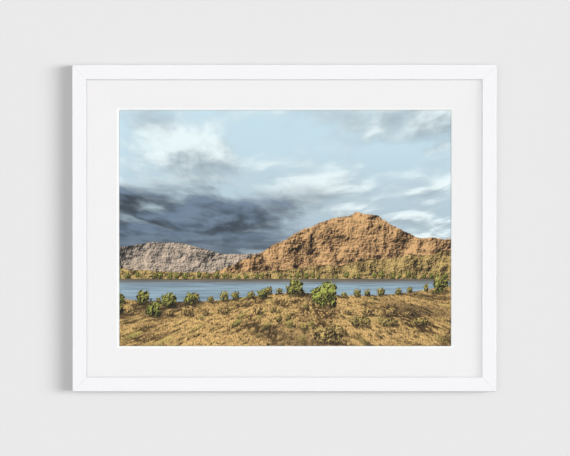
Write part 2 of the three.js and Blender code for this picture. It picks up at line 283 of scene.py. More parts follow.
class Wire:
    """A value between two nodes. Its methods make the nodes that work on it, and return wires."""

    def __init__(self, tree, socket):
        self.tree = tree
        self.socket = socket

    __add__ = __radd__ = math_node("ADD")
    __sub__ = math_node("SUBTRACT")
    __rsub__ = math_node("SUBTRACT", flipped=True)
    __mul__ = math_node("MULTIPLY")
    __truediv__ = math_node("DIVIDE")
    __rtruediv__ = math_node("DIVIDE", flipped=True)
    __pow__ = math_node("POWER")
    __abs__ = math_node("ABSOLUTE")
    __gt__ = math_node("GREATER_THAN")
    __lt__ = math_node("LESS_THAN")
    logarithm = math_node("LOGARITHM")
    lower_of = math_node("MINIMUM")

    def vector(self, operation, other):
        return self.tree.add("VectorMath", self, other, operation=operation)["Vector"]

    def scaled(self, scale):
        return self.vector("MULTIPLY", scale)

    def moved(self, offset):
        return self.vector("ADD", offset)

    def split(self):
        return list(self.tree.add("SeparateXYZ", self).values())

    def between(self, low, high, to_low=0.0, to_high=1.0, smooth=True):
        """The value carried from one range to another, and held at its ends."""
        kind = "SMOOTHSTEP" if smooth else "LINEAR"
        return self.tree.add("MapRange", self, low, high, to_low, to_high, interpolation_type=kind)["Result"]

    def noise(self, scale, detail=2.0, roughness=0.5, distortion=0.0, out="Fac"):
        inputs = {"Scale": scale, "Detail": detail, "Roughness": roughness, "Distortion": distortion}
        return self.tree.add("TexNoise", self, inputs=inputs)[out]

    def cells(self, scale, dimensions="3D", randomness=1.0, feature="F1"):
        """Distance to the middle or to the edge of a scattered cell, its random colour and its middle."""
        start, middle = ("W", "W") if dimensions == "1D" else ("Vector", "Position")
        inputs = {start: self, "Scale": scale, "Randomness": randomness}
        made = self.tree.add("TexVoronoi", inputs=inputs, voronoi_dimensions=dimensions, feature=feature)
        return made["Distance"], made["Color"], made[middle]

    def curve(self, points):
        """A smooth line through a few points."""
        made = self.tree.add("FloatCurve", inputs={"Value": self})["Value"]
        mapping = made.socket.node.mapping
        line = mapping.curves[0].points
        while len(line) < len(points):
            line.new(0.5, 0.5)
        for point, place in zip(line, points):
            point.location = place
        mapping.update()
        return made

    def ramp(self, *colours):
        """Runs through some colours, evenly spread."""
        made = self.tree.add("ValToRGB", self)["Color"]
        elements = made.socket.node.color_ramp.elements
        while len(elements) < len(colours):
            elements.new(0.5)
        for step, (element, colour) in enumerate(zip(elements, colours)):
            element.position = step / (len(colours) - 1)
            element.color = (*colour, 1.0)
        return made

    def mix(self, first, second, blend_type="MIX"):
        """Goes from the first colour at 0 to the second at 1."""
        inputs = {"Factor_Float": self, "A_Color": first, "B_Color": second}
        return self.tree.add("Mix", inputs=inputs, data_type="RGBA", blend_type=blend_type)["Result_Color"]

    def tint(self, colour, low, high):
        """Goes from a colour shaded by one factor to the same shaded by another."""
        return self.mix(shade(colour, low), shade(colour, high))


def join(x, y, z=0.0):
    """A vector of three values, of which the first is a wire."""
    return x.tree.add("CombineXYZ", x, y, z)["Vector"]


class Tree:
    """The nodes of a material or of the world."""

    def __init__(self, node_tree):
        self.nodes = node_tree.nodes
        self.links = node_tree.links

    def put(self, value, socket):
        """Sets a socket from a wire, a number or a colour."""
        if isinstance(value, Wire):
            self.links.new(value.socket, socket)
        elif isinstance(value, (int, float)):
            socket.default_value = value
        else:
            socket.default_value = [*value, 1.0][: len(socket.default_value)]

    def add(self, kind, *values, inputs=None, **settings):
        """Adds a node and gives its outputs by name. Bare values go to its first inputs."""
        node = self.nodes.new("ShaderNode" + kind)
        for name, setting in settings.items():
            setattr(node, name, setting)
        for value, socket in zip(values, node.inputs):
            self.put(value, socket)
        for socket in node.inputs:
            if inputs and socket.identifier in inputs:
                self.put(inputs[socket.identifier], socket)
        return {socket.identifier: Wire(self, socket) for socket in node.outputs}


class Finish(Tree):
    """The nodes of one material."""

    def __init__(self, name, roughness, metallic=0.0):
        self.material = bpy.data.materials.new(name)
        self.material.use_nodes = True
        super().__init__(self.material.node_tree)
        self.shader = self.nodes["Principled BSDF"]
        self.roughness(roughness)
        self.set("Metallic", metallic)

    def set(self, name, value):
        self.put(value, self.shader.inputs[name])

    def colour(self, value):
        self.set("Base Color", value)

    def roughness(self, value):
        self.set("Roughness", value)

    def place(self, kind="Object", centre=(0, 0, 0), turn=(0, 0, 0), stretch=(1, 1, 1)):
        """Coordinates about a centre, turned and then stretched."""
        source = self.add("TexCoord")[kind]
        return self.add("Mapping", source, centre, turn, stretch, vector_type="TEXTURE")["Vector"]

    def bump(self, height, depth):
        """Raises the surface by height times depth, in metres, over any bump before it."""
        inputs = {"Distance": depth, "Height": height}
        normal = self.shader.inputs["Normal"]
        if normal.is_linked:
            inputs["Normal"] = Wire(self, normal.links[0].from_socket)
        self.put(self.add("Bump", inputs=inputs)["Normal"], normal)


# Materials


def lacquer_finish(settings):
    """Sprayed lacquer: nearly flat, with a faint orange peel and a trace of the sanding along the rail."""
    finish = Finish("sprayed_lacquer", 0.38)
    along = finish.place("UV")
    finish.colour(along.noise(22, 3).tint(settings.lacquer, 0.985, 1.012))
    sanding = along.scaled((12, 900, 1)).noise(1, 4, 0.6)
    finish.roughness(sanding.between(0.2, 0.8, 0.34, 0.44))
    finish.bump(sanding, 0.004 * MM)
    finish.bump(along.noise(700, 2), 0.012 * MM)
    return finish.material


def fibreboard_finish(settings):
    """The bare back of the moulding, with lacquer mist along its outer edge."""
    finish = Finish("bare_fibreboard", 0.85)
    along = finish.place("UV")
    fibres = along.scaled((240, 1400, 1)).noise(1, 5, 0.65)
    flecks = along.cells(900)[0].between(0.1, 0.28, 0.5, 0.0)
    board = flecks.mix(fibres.tint(settings.fibreboard, 0.72, 1.2), shade(settings.fibreboard, 0.45))
    from_edge = BACK_Y - along.split()[1]
    ragged = along.scaled((120, 400, 1)).noise(1, 4)
    mist = (from_edge - ragged * 2.6 * MM).between(-0.4 * MM, 0.6 * MM, 0.95, 0.0)
    finish.colour(mist.mix(board, settings.lacquer))
    finish.bump(fibres, 0.05 * MM)
    return finish.material


def facing_finish(settings):
    """The mat's facing paper, with a fine tooth."""
    finish = Finish("mat_facing", 0.92)
    place = finish.place()
    finish.colour(place.noise(90, 4, 0.6).tint(settings.facing, 0.985, 1.015))
    finish.bump(place.noise(1800, 3, 0.7), 0.03 * MM)
    finish.bump(place.cells(700)[0], 0.012 * MM)
    return finish.material


def core_finish(settings):
    """The mat's white core where the knife has cut it: pressed layers that run round the window."""
    finish = Finish("mat_core", 0.85)
    layers = finish.place().scaled((60, 3500, 60)).noise(1, 3, 0.6)
    finish.colour(layers.tint(settings.core, 0.96, 1.03))
    finish.bump(layers, 0.03 * MM)
    return finish.material


def glazing_finish():
    """Clear picture glass that mirrors little, with the faintest haze left by wiping."""
    finish = Finish("picture_glass", 0.0)
    finish.set("Transmission Weight", 1.0)
    finish.set("IOR", 1.5)
    finish.set("Specular IOR Level", 0.2)
    wiped = finish.place(turn=(0, 0.6, 0), stretch=(0.3, 1, 1)).noise(14, 3)
    finish.colour(wiped.mix((0.98, 0.992, 0.986), (0.99, 0.998, 0.994)))
    return finish.material


def foam_board_finish():
    """Paper faces on a foam core, which shows as fine cells at the edges."""
    finish = Finish("foam_board", 0.9)
    place = finish.place()
    low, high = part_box("mount_board")
    depth = place.split()[1]
    paper = 0.4 * MM
    foam = place.cells(1500)[0]
    foam_colour = foam.mix((0.8, 0.8, 0.77), (0.9, 0.9, 0.88))
    paper_colour = place.noise(120, 4).mix((0.83, 0.82, 0.79), (0.88, 0.87, 0.84))
    at_face = (depth < low.y + paper) + (depth > high.y - paper)
    finish.colour(at_face.mix(foam_colour, paper_colour))
    finish.bump(foam, 0.08 * MM)
    return finish.material


def hardboard_finish(settings):
    """Tempered hardboard: matted fibres, darker flecks and a dull sheen."""
    finish = Finish("hardboard", 0.7)
    place = finish.place()
    clouds = place.noise(9, 3)
    matted = place.noise(260, 6, 0.7, 0.6)
    fibres = finish.place(turn=(0, 0.5, 0), stretch=(1, 1, 0.12)).noise(900, 3, 0.6)
    crossing = finish.place(turn=(0, -0.9, 0), stretch=(1, 1, 0.12)).noise(900, 3, 0.6)
    base = settings.hardboard
    board = matted.tint(base, 0.7, 1.45)
    board = fibres.between(0.55, 0.75, 0.0, 0.6).mix(board, shade(base, 1.9))
    board = crossing.between(0.58, 0.78, 0.0, 0.5).mix(board, shade(base, 0.45))
    finish.colour(clouds.between(0.3, 0.7, 0.0, 0.35).mix(board, shade(base, 1.3)))
    finish.roughness(matted.between(0.3, 0.7, 0.55, 0.8))
    finish.bump(matted, 0.03 * MM)
    finish.bump(fibres, 0.02 * MM)
    return finish.material


def steel_finish(name, tint, roughness):
    """Zinc-plated steel with a mottled plating and fine handling marks."""
    finish = Finish(name, roughness, 1.0)
    mottle = finish.place().noise(420, 3)
    finish.colour(mottle.tint(tint, 0.82, 1.12))
    marks = finish.place(turn=(0, 0.8, 0), stretch=(1, 1, 0.05)).noise(2600, 2)
    even = mottle.between(0.3, 0.7, roughness - 0.08, roughness + 0.08)
    finish.roughness(even + marks.between(0.45, 0.75, 0.0, 0.14))
    finish.bump(mottle, 0.01 * MM)
    return finish.material


def bumper_finish():
    """Soft milky rubber, a little dusty."""
    finish = Finish("soft_rubber", 0.5)
    dust = finish.place().noise(700, 4, 0.65)
    finish.colour(dust.mix((0.62, 0.61, 0.57), (0.72, 0.71, 0.68)))
    finish.roughness(dust.between(0.3, 0.7, 0.4, 0.65))
    finish.bump(dust, 0.02 * MM)
    return finish.material


def one_sided_paint(name, colour, glow):
    """Plain paint on the front of a plane, whose back isn't there."""
    finish = Finish(name, 0.9)
    finish.material.cycles.emission_sampling = "NONE"
    finish.colour(colour)
    finish.set("Emission Color", colour)
    finish.set("Emission Strength", glow)
    finish.set("Specular IOR Level", 0.0)
    from_behind = finish.add("NewGeometry")["Backfacing"]
    painted = Wire(finish, finish.shader.outputs[0])
    shown = finish.add("MixShader", from_behind, painted, finish.add("BsdfTransparent")["BSDF"])
    finish.put(shown["Shader"], finish.nodes["Material Output"].inputs["Surface"])
    return finish.material


# The picture. Across runs from 0 at the left to 1 at the right, and up from 0 at the bottom to 1 at the top.

ASPECT = math.sqrt(2)  # of its width to its height
FAR_SHORE = 0.285


def relief(place, scale, step, **noise):
    """A rough surface and how much it rises from the upper left, where the light comes from."""
    here = place.noise(scale, **noise)
    there = place.moved((-step, step * 0.8, 0)).noise(scale, **noise)
    return here, here - there


def below(up, line, softness=0.002):
    """1 below a line, 0 above it."""
    return (up - line).between(-softness, softness, 1.0, 0.0)


def shade_to_sun(tone, dark, light, deep, dim, half, bright):
    """Colours a tone from deep shade at 0 to full sun at 1."""
    return tone.ramp(
        shade(dark, deep), shade(dark, dim), blend(dark, light, half), light, shade(light, bright)
    )


def paint_sky(across, up, c):
    """Cloud that draws together towards the horizon, heavy and dark low on the left."""
    horizon = 0.08  # of the cloud, well behind the hills
    depth = 1 / (up - horizon)
    ceiling = join((across - 0.5) * depth * 1.7, depth * 1.5, 4.2)
    bend = ceiling.noise(0.7, 3, out="Color")
    ceiling = ceiling.moved(bend.scaled((0.9, 0.5, 0.0)))
    body = ceiling.noise(1.5, 8, 0.56)
    above = ceiling.moved((-0.06, -0.16, 0)).noise(1.5, 8, 0.56)
    lit = (body - above).between(-0.14, 0.12)
    sky = up.between(0.35, 0.95).mix(c.sky_low, c.sky_high)
    sky = body.between(0.42, 0.6).mix(sky, lit.mix(shade(c.sky_low, 0.82), c.cloud))
    bank = up.between(0.84, 0.46) * across.between(0.95, 0.15)
    heavy = (body + bank * 0.5).between(0.62, 0.86) * bank.between(0.0, 0.4)
    curtain = join(across * 14 + up * 5, up * 1.4, 7.0).noise(1.0, 3, 0.5)
    rain = curtain.mix(shade(c.storm, 0.55), blend(c.storm, c.sky_low, 0.35))
    dark = (up.between(0.52, 0.4) * 0.8).mix(lit.tint(c.storm, 0.36, 1.5), rain)
    return (heavy * 0.93).mix(sky, dark)


def ridge_line(across, points, rough, scale, seed):
    """The height of a ridge: a few points, broken up by noise."""
    wander = join(across * scale, seed).noise(1.0, 9, 0.6)
    return across.curve(points) + (wander - 0.5) * rough


def paint_hills(across, up, summit, seed, spread, light, dark):
    """Dry slopes, cut by gullies that fan out below a summit, with rock that breaks through."""
    fanned = (across - summit) * (1.35 - up) * spread
    place = join(fanned, up * spread * 0.42, seed)
    bend = place.noise(0.35, 3, out="Color")
    place = place.moved(bend.scaled((1.6, 0.8, 0)))
    _, on_gullies = relief(place, 0.55, 0.16, detail=8, roughness=0.58)
    rock_place = join(across * spread * 2.6, up * spread * 1.8, seed)
    rocks, on_rocks = relief(rock_place, 1.0, 0.11, detail=7, roughness=0.78)
    patches = join(across * 5, up * 6, seed).noise(1.0, 4, 0.6)
    strata = join(across * spread * 0.5 + up * 3, up * spread * 5, seed).noise(1.0, 6, 0.7)
    tone = on_gullies * 3.8 + on_rocks * 4.2 + (patches - 0.5) * 0.6
    tone = tone + (rocks - 0.5) * 1.4 + (strata - 0.5) * 0.9 + 0.56
    return shade_to_sun(tone, dark, light, 0.08, 0.5, 0.55, 1.35)


def paint_water(across, up, c):
    """Still water that mirrors the sky, and the hills under the far shore."""
    ripple = join(across * 7, up * 210).noise(1.0, 5, 0.62)
    long_wave = join(across * 2.4, up * 46, 3.0).noise(1.0, 3)
    open_water = (ripple * 0.6 + long_wave * 0.4).between(0.3, 0.7).tint(c.water, 0.55, 1.25)
    mirrored = ripple.mix(shade(c.leaf_dark, 0.6), shade(c.hill_light, 0.5))
    under_shore = (up + (long_wave - 0.5) * 0.03).between(FAR_SHORE - 0.03, FAR_SHORE)
    return (under_shore * 0.85).mix(open_water, mirrored)


def paint_meadow(across, up, c):
    """Dry grass in tufts on level ground, which shrink towards the horizon."""
    horizon = 0.36  # of the ground, behind the far shore
    depth = 1 / (horizon - up)
    ground = join((across - 0.5) * depth, depth.logarithm(math.e) * (1 / ASPECT))
    patches = ground.scaled((1, 2.2, 1)).noise(1.6, 6, 0.62)
    light, dark = c.grass_light, c.grass_dark
    blades = join(across * 210, up * 90).noise(1.0, 5, 0.8, 0.5)
    brush = blend(dark, c.leaf_dark, 0.3)
    meadow = patches.between(0.4, 0.54).mix(shade(brush, 1.1), shade(light, 1.2))
    meadow = blades.between(0.36, 0.6, 0.75, 0.0).mix(meadow, shade(dark, 0.35))
    meadow = blades.between(0.55, 0.75, 0.0, 0.7).mix(meadow, shade(light, 1.5))
    for scale, bare, green, seed in ((26, 0.35, 0.0, 0.0), (14, 0.5, 0.15, 3.0), (8, 0.7, 0.5, 8.0)):
        spot = ground.moved((seed, seed, 0))
        ragged = spot.scaled((1, 0.4, 1)).noise(scale * 4, 5, 0.8, out="Color")
        spot = spot.moved(ragged.scaled((0.75 / scale, 0.9 / scale, 0)))
        distance, random, middle = spot.cells(scale, "2D")
        side, rise, _ = spot.vector("SUBTRACT", middle).split()
        chance, hue, height = random.split()
        tuft = distance.between(0.42, 0.34) * (chance > bare)
        tone = (rise - side * 0.6) * scale * 0.7 + (blades - 0.5) * 2.2 + (height - 0.5) * 0.4 + 0.5
        bright = hue.mix(shade(light, 1.25), blend(shade(light, 1.1), c.leaf_light, green))
        shaded = shade(blend(dark, c.leaf_dark, green), 0.22)
        meadow = (tuft * 0.92).mix(meadow, tone.between(0.05, 0.95).mix(shaded, bright))
    clouded = ground.scaled((0.5, 1.6, 1)).noise(1.3, 3)
    return clouded.between(0.5, 0.62).mix(meadow, (0.5, 0.5, 0.55), "MULTIPLY")


def bush_row(across, up, c, base, height, width, seed, bare, green):
    """A row of bushes on one line: where they cover, their colour, and their shadow on the ground."""
    line = (across + seed) * (1.0 / width)
    scatter = 0.75
    _, random, middle = line.cells(1.0, "1D", scatter)
    room = line.cells(1.0, "1D", scatter, "DISTANCE_TO_EDGE")[0]
    chance, tallness, lean = random.split()
    stands = chance > bare
    tall = tallness.between(0.0, 1.0, 0.45, 1.0, smooth=False)
    side = (line - middle) / (tall * 0.4)
    foot = base + (lean - 0.5) * height * 0.25
    rise = (up - foot) / (tall * height)
    # Twigs grow up and outwards from the foot, so the leaves are drawn along rays from below it.
    fan = side / (rise + 0.55)
    outward = (side * side * 0.5 + (rise + 0.1) ** 2) ** 0.5
    limbs, limb_light = relief(join(fan * 1.7 + middle * 5, outward * 2.4, seed), 1.3, 0.18, detail=3)
    leaf_place = join(across * ASPECT, up, seed)
    leaves, leaf_light = relief(leaf_place, 5.5 / height, height * 0.025, detail=5, roughness=0.8)
    edge = side * side * 0.9 + ((rise - 0.42) * 1.9) ** 2 + (limbs - 0.5) * 3.2 + (leaves - 0.5) * 2.2
    edge = edge + room.between(0.0, 0.16, 2.4, 0.0)
    cover = edge.between(0.95, 0.75) * stands * rise.between(-0.05, 0.05)
    tone = rise * 0.5 - side * 0.16 + limb_light * 2.2 + leaf_light * 3.2 + (leaves - 0.5) * 2.0 + 0.14
    light = blend(c.grass_light, c.leaf_light, green)
    dark = blend(c.hill_shade, c.leaf_dark, green)
    colour = shade_to_sun(tone, dark, light, 0.12, 0.55, 0.45, 1.4)
    shadow = ((side - 0.6) ** 2 * 0.4 + (rise * 6) ** 2).between(1.0, 0.3) * stands
    return cover, colour, shadow * room.between(0.0, 0.2)


def paint_land(across, up, c, picture):
    """Lays the hills, the lake and the meadow over the sky, from far to near."""
    far = [(0, 0.42), (0.15, 0.44), (0.34, 0.39), (0.6, 0.42), (1, 0.41)]
    high = [(0, 0.27), (0.2, 0.29), (0.36, 0.35), (0.48, 0.43)]
    high += [(0.6, 0.53), (0.72, 0.565), (0.87, 0.475), (1, 0.44)]
    low = [(0, 0.33), (0.3, 0.31), (0.55, 0.33), (0.8, 0.37), (1, 0.4)]
    near_shore = [(0, 0.2), (0.25, 0.19), (0.5, 0.225), (0.75, 0.215), (1, 0.255)]

    hazy = blend(c.hill_light, c.sky_low, 0.35), blend(c.hill_shade, c.sky_low, 0.25)
    dry = c.hill_light, c.hill_shade
    grown = blend(c.hill_light, c.leaf_light, 0.25), shade(c.hill_shade, 0.7)
    for ridge, rough, scale, ridge_seed, summit, seed, spread, colours in (
        (far, 0.05, 9, 2.0, 0.2, 4.0, 17, hazy),
        (high, 0.13, 5, 5.3, 0.69, 9.0, 13, dry),
        (low, 0.05, 11, 12.0, 0.8, 21.0, 22, grown),
    ):
        line = ridge_line(across, ridge, rough, scale, ridge_seed)
        hills = paint_hills(across, up, summit, seed, spread, *colours)
        picture = below(up, line).mix(picture, hills)

    picture = below(up, FAR_SHORE, 0.001).mix(picture, paint_water(across, up, c))
    cover, colour, _ = bush_row(across, up, c, FAR_SHORE, 0.035, 0.024, 3.1, 0.1, 0.7)
    picture = cover.mix(picture, colour)

    shore = ridge_line(across, near_shore, 0.02, 8, 30.0)
    picture = below(up, shore, 0.0015).mix(picture, paint_meadow(across, up, c))
    for row in (
        (shore - 0.006, 0.045, 0.04, 7.7, 0.25, 0.5),
        (shore - 0.02, 0.08, 0.075, 11.3, 0.5, 0.7),
        (shore - 0.055, 0.12, 0.13, 17.9, 0.6, 0.8),
        (0.13, 0.045, 0.055, 23.2, 0.35, 0.1),
        (0.085, 0.05, 0.095, 41.7, 0.6, 0.3),
        (0.02, 0.09, 0.17, 31.4, 0.45, 0.2),
    ):
        cover, colour, shadow = bush_row(across, up, c, *row)
        picture = (shadow * 0.65).mix(picture, shade(c.hill_shade, 0.25))
        picture = cover.mix(picture, colour)
    return picture


def picture_finish(settings, sheets):
    """A print on white paper: cloud over dry hills, a lake, bushes by its shore and dry grass in front."""
    finish = Finish("printed_picture", 0.8)
    width, height = sheets.window_width, sheets.window_height
    corner = (MIDDLE_X + sheets.window_shift - width / 2, 0, MIDDLE_Z - height / 2)
    across, depth, up = finish.place(centre=corner, stretch=(width, 1, height)).split()
    c = SimpleNamespace(**{name: from_screen(getattr(settings, name)) for name in settings.__annotations__})
    picture = paint_land(across, up, c, paint_sky(across, up, c))

    gain, contrast = [1.04] * 3, [1.2] * 3
    rim = 0.8 * MM  # width of the painted shade that the mat's cut edge casts on the picture
    to_edge = ((0.5 - abs(across - 0.5)) * width).lower_of((0.5 - abs(up - 0.5)) * height)
    picture = picture.scaled(gain).vector("POWER", contrast)
    # Painted shadow: darkens the picture towards black within the rim, where the mat's cut edge would shade
    # it.
    picture = to_edge.between(rim / 2, rim, 0.3, 0.0).mix(picture, (0.0, 0.0, 0.0))

    bleed = 0.008  # the picture runs on under the mat
    printed = depth < centre_of("print_sheet").y
    for value in (across, up):
        printed = printed * (abs(value - 0.5) < 0.5 + bleed)
    place = finish.place()
    paper = place.noise(150, 4).mix((0.84, 0.835, 0.82), (0.89, 0.885, 0.87))
    finish.colour(printed.mix(paper, picture))
    finish.bump(place.noise(2200, 2), 0.015 * MM)
    return finish.material


# Meshes


def moved_verts(made):
    """The vertices that an extrusion made."""
    return [v for v in made["geom"] if isinstance(v, bmesh.types.BMVert)]


def bevel(bm, geom, radius, segments=2, affect="EDGES"):
    """Rounds some edges or corners."""
    bmesh.ops.bevel(
        bm,
        geom=geom,
        offset=radius,
        offset_type="OFFSET",
        segments=segments,
        profile=0.5,
        affect=affect,
        material=-1,
        clamp_overlap=True,
    )


def round_rims(bm, radius, degrees=60):
    """Rounds the edges where two faces meet at more than an angle."""
    bmesh.ops.recalc_face_normals(bm, faces=bm.faces)
    bevel(bm, [e for e in bm.edges if e.calc_face_angle(0.0) > math.radians(degrees)], radius)


def set_at(bm, spot, turn=0.0):
    """Turns a piece about the Y axis and moves it to its spot."""
    place = Matrix.Translation(spot) @ Matrix.Rotation(turn, 4, "Y")
    bmesh.ops.transform(bm, matrix=place, verts=bm.verts)


def thicken(bm, faces, depth):
    """Pushes faces back along Y by a depth, with walls round them."""
    made = bmesh.ops.extrude_face_region(bm, geom=list(faces))
    bmesh.ops.translate(bm, vec=(0, depth, 0), verts=moved_verts(made))


def grow(bm, edges, stretch=(1, 1, 1), shift=0.0):
    """Pulls faces out of a loop of edges, by a stretch about the origin and a shift along Y."""
    verts = moved_verts(bmesh.ops.extrude_edge_only(bm, edges=edges))
    bmesh.ops.scale(bm, vec=stretch, verts=verts)
    bmesh.ops.translate(bm, vec=(0, shift, 0), verts=verts)
    return [e for e in bm.edges if e.verts[0] in verts and e.verts[1] in verts]


def add_object(name, data):
    """Puts a new object into the scene."""
    thing = bpy.data.objects.new(name, data)
    bpy.context.scene.collection.objects.link(thing)
    return thing


def add_mesh(name, bm, materials):
    """Makes an object of a finished bmesh."""
    mesh = bpy.data.meshes.new(name)
    bm.to_mesh(mesh)
    bm.free()
    for material in materials:
        mesh.materials.append(material)
    return add_object(name, mesh)


def add_piece(name, bm, materials, slot, body, *nodes, smooth_to=32):
    """Makes a piece that rides on a body and stands for its CAD nodes. It is smooth up to an angle."""
    bmesh.ops.recalc_face_normals(bm, faces=bm.faces)
    for face in bm.faces:
        face.smooth = True
    for edge in bm.edges:
        edge.smooth = len(edge.link_faces) == 2 and edge.calc_face_angle(0.0) < math.radians(smooth_to)
    piece = add_mesh(name, bm, materials)
    piece.modifiers.new("Flat faces", "WEIGHTED_NORMAL").keep_sharp = True
    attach(piece, body)
    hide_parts(*nodes)
    return piece


def dress_node(node, material):
    """Gives a CAD node that stays its finish."""
    piece = frame["nodes"][node]
    piece.data.materials.clear()
    piece.data.materials.append(material)
    return piece


def plane_bmesh(width, height, turn=math.pi / 2):
    """A flat rectangle that faces the front, unless it is turned otherwise about the X axis."""
    bm = bmesh.new()
    bmesh.ops.create_grid(bm, x_segments=1, y_segments=1, size=0.5)
    bmesh.ops.scale(bm, vec=(width, height, 1), verts=bm.verts)
    bmesh.ops.rotate(bm, matrix=Matrix.Rotation(turn, 3, "X"), verts=bm.verts)
    return bm


def cut_mitre(bm, half_length, side, settings):
    """Cuts one end of a rail at 45 degrees, closes it and rounds the cut."""
    outwards = Vector((side, 0, -1)).normalized()
    corner = Vector((side * half_length, 0, 0)) - outwards * settings.mitre_gap / 2
    geometry = [*bm.verts, *bm.edges, *bm.faces]
    cut = bmesh.ops.bisect_plane(bm, geom=geometry, plane_co=corner, plane_no=outwards, clear_outer=True)
    edges = [e for e in cut["geom_cut"] if isinstance(e, bmesh.types.BMEdge)]
    bmesh.ops.edgeloop_fill(bm, edges=edges)
    bevel(bm, edges, settings.mitre_radius)


def rail_bmesh(length, settings):
    """A rail along X, with its outer edge on z = 0. It is unwrapped with its length along U."""
    bm = bmesh.new()
    shelf = FRONT_Y + settings.lip_depth
    inner = -RAIL_FACE
    rebate = inner + settings.lip_width
    outline = [(BACK_Y, 0), (BACK_Y, rebate), (shelf, rebate)]
    outline += [(shelf, inner), (FRONT_Y, inner), (FRONT_Y, 0)]
    end = bm.faces.new([bm.verts.new((-length / 2, y, z)) for y, z in outline])
    pulled = bmesh.ops.extrude_face_region(bm, geom=[end])
    bmesh.ops.translate(bm, vec=(length, 0, 0), verts=moved_verts(pulled))

    def along(*places):
        """The edges that run along the rail at some places in its section."""
        long = [e for e in bm.edges if abs(e.verts[0].co.x - e.verts[1].co.x) > length / 2]
        return [e for e in long if any(math.dist(e.verts[0].co.yz, place) < MM / 10 for place in places)]

    bevel(bm, along((FRONT_Y, 0)), settings.front_radius, 5)
    bevel(bm, along((FRONT_Y, inner)), settings.inner_radius, 4)
    bevel(bm, along((BACK_Y, 0), (BACK_Y, rebate)), settings.back_radius)
    for side in (-1, 1):
        cut_mitre(bm, length / 2, side, settings)
    bmesh.ops.recalc_face_normals(bm, faces=bm.faces)
    layer = bm.loops.layers.uv.new("UVMap")
    for face in bm.faces:
        at_back = face.calc_center_median().y > shelf + MM
        face.material_index = int(face.normal.y > 0.9 and at_back)
        for loop in face.loops:
            place = loop.vert.co
            loop[layer].uv = (place.x, place.y + place.z)
    return bm


def sheet_bmesh(node, corner=0.0, edge=0.2 * MM):
    """A sheet of a node's size with cut corners rounded and its edges softened."""
    size, middle = size_of(node), centre_of(node)
    bm = plane_bmesh(size.x, size.z)
    if corner:
        bevel(bm, bm.verts[:], corner, 8, "VERTICES")
    thicken(bm, bm.faces, size.y)
    set_at(bm, (middle.x, middle.y - size.y / 2, middle.z))
    round_rims(bm, edge)
    return bm


def turned_bmesh(profile, steps=32):
    """A piece turned about the Y axis, from points of radius and depth."""
    bm = bmesh.new()
    verts = [bm.verts.new((radius, y, 0)) for radius, y in profile]
    edges = [bm.edges.new(pair) for pair in zip(verts, verts[1:])]
    bmesh.ops.spin(bm, geom=verts + edges, axis=(0, 1, 0), angle=2 * math.pi, steps=steps, use_merge=True)
    bmesh.ops.remove_doubles(bm, verts=bm.verts, dist=MM / 1000)
    return bm


def button_bmesh(settings, thickness):
    """A turn button with its screw's hole at the origin and its arm down. A stamped rib stiffens the arm."""
    bm = bmesh.new()
    sides = 48
    upright = Matrix.Rotation(math.pi / 2, 4, "X")
    bmesh.ops.create_circle(bm, segments=sides, radius=settings.hub_radius, matrix=upright)
    tip = [v for v in bm.verts if v.co.z < -MM / 100]
    narrower = settings.tip_radius / settings.hub_radius
    bmesh.ops.scale(bm, vec=(narrower, 1, narrower), verts=tip)
    bmesh.ops.translate(bm, vec=(0, 0, -settings.reach), verts=tip)
    bmesh.ops.create_circle(bm, segments=sides, radius=settings.hole_radius, matrix=upright)
    bmesh.ops.bridge_loops(bm, edges=bm.edges[:])
    thicken(bm, bm.faces, thickness)
    round_rims(bm, settings.stamped_radius)
    rib = Matrix.Translation((0, thickness, -0.6 * settings.reach))
    rib = rib @ Matrix.Diagonal((0.3 * settings.tip_radius, 0.25 * MM, 0.24 * settings.reach, 1))
    bmesh.ops.create_uvsphere(bm, u_segments=24, v_segments=16, radius=1, matrix=rib)
    return bm


def screw_bmesh(settings, length, head_height):
    """A screw seated at y = 0, with a domed head and a tapered cross recess behind."""
    radius, shank, point = settings.head_radius, settings.shank_radius, 2.5 * MM
    edge = head_height / 2
    soft = 0.12 * MM

    def dome(from_axis):
        return edge + (head_height - edge) * math.sqrt(max(0.0, 1 - (from_axis / radius) ** 2))

    half, long = settings.recess_width / 2, settings.recess_span / 2
    shaft = [(0, -length), (shank, -length + point), (shank, 0)]
    head = [(radius - soft, 0), (radius, soft), (radius, edge)]
    rings = (0.98 * radius, 0.92 * radius, 0.82 * radius, 0.7 * radius, long + 0.2 * MM)
    bm = turned_bmesh(shaft + head + [(ring, dome(ring)) for ring in rings], 36)
    top = [e for e in bm.edges if e.is_boundary]
    cross = []
    for turn in range(4):
        for x, z in ((long, -half), (long, half), (half, half)):
            spot = Matrix.Rotation(-turn * math.pi / 2, 3, "Y") @ Vector((x, 0, z))
            spot.y = dome(math.hypot(x, z))
            cross.append(bm.verts.new(spot))
    rim = [bm.edges.new(pair) for pair in zip(cross, cross[1:] + cross[:1])]
    bmesh.ops.bridge_loops(bm, edges=top + rim)
    floor = grow(bm, rim, (0.45, 1, 0.45), -settings.recess_depth)
    bmesh.ops.edgeloop_fill(bm, edges=floor)
    return bm


def staple_bmesh(settings, depth):
    """A bent strip. Its corner is at the origin, its back edge on y = 0, and its arms go left and down."""
    half, wing = settings.staple_thickness / 2, settings.staple_wing
    outline = ((half, half), (-wing, half), (-wing, -half), (-half, -half), (-half, -wing), (half, -wing))
    bm = bmesh.new()
    face = bm.faces.new([bm.verts.new((x, -depth, z)) for x, z in outline])
    thicken(bm, [face], depth)
    round_rims(bm, 0.08 * MM)
    return bm


# The stage


